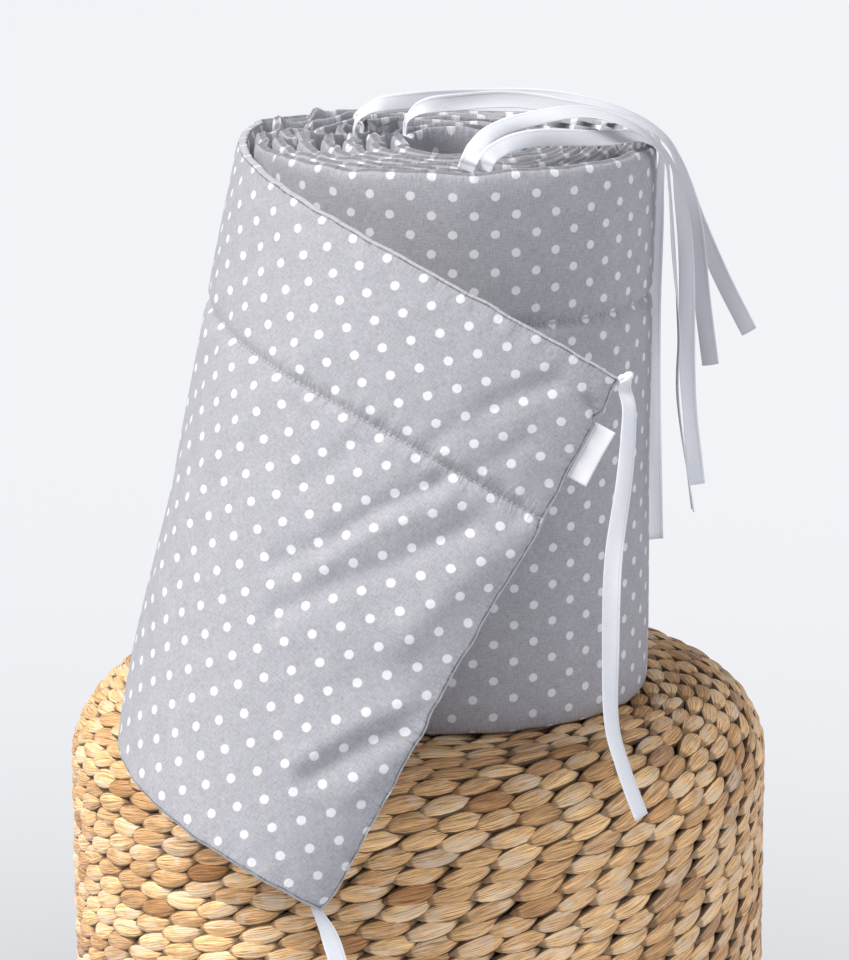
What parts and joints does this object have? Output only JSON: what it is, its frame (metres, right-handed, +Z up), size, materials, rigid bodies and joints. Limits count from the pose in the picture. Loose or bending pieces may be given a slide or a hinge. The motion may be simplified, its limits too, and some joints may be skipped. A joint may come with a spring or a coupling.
{
  "type": "rolled crib bumper on a round woven pouf",
  "caption": "Padded cotton crib bumper rolled up on end with tie tapes, its loose end hanging over the edge of a round woven pouf.",
  "frame": {"origin": "centre of the pouf's flat base, on the floor", "axes": "+Z up, -Y towards the side where the bumper's loose end hangs"},
  "size_m": [0.382, 0.4418, 0.6867],
  "materials": {
    "spotted_cotton": "grey woven cotton with white dots, matt",
    "white_tape": "white cotton tape, matt",
    "label_satin": "plain white satin ribbon",
    "straw": "braided dried plant fibre, matt with a soft sheen"
  },
  "bodies": {
    "root": {"bumper": "spotted_cotton", "label": "label_satin", "pouf": "straw", "tie_core": "white_tape", "tie_flap_bottom": "white_tape", "tie_flap_top": "white_tape", "tie_long_back": "white_tape", "tie_long_front": "white_tape", "tie_rim_thin": "white_tape", "tie_rim_wide": "white_tape"}
  },
  "joints": []
}
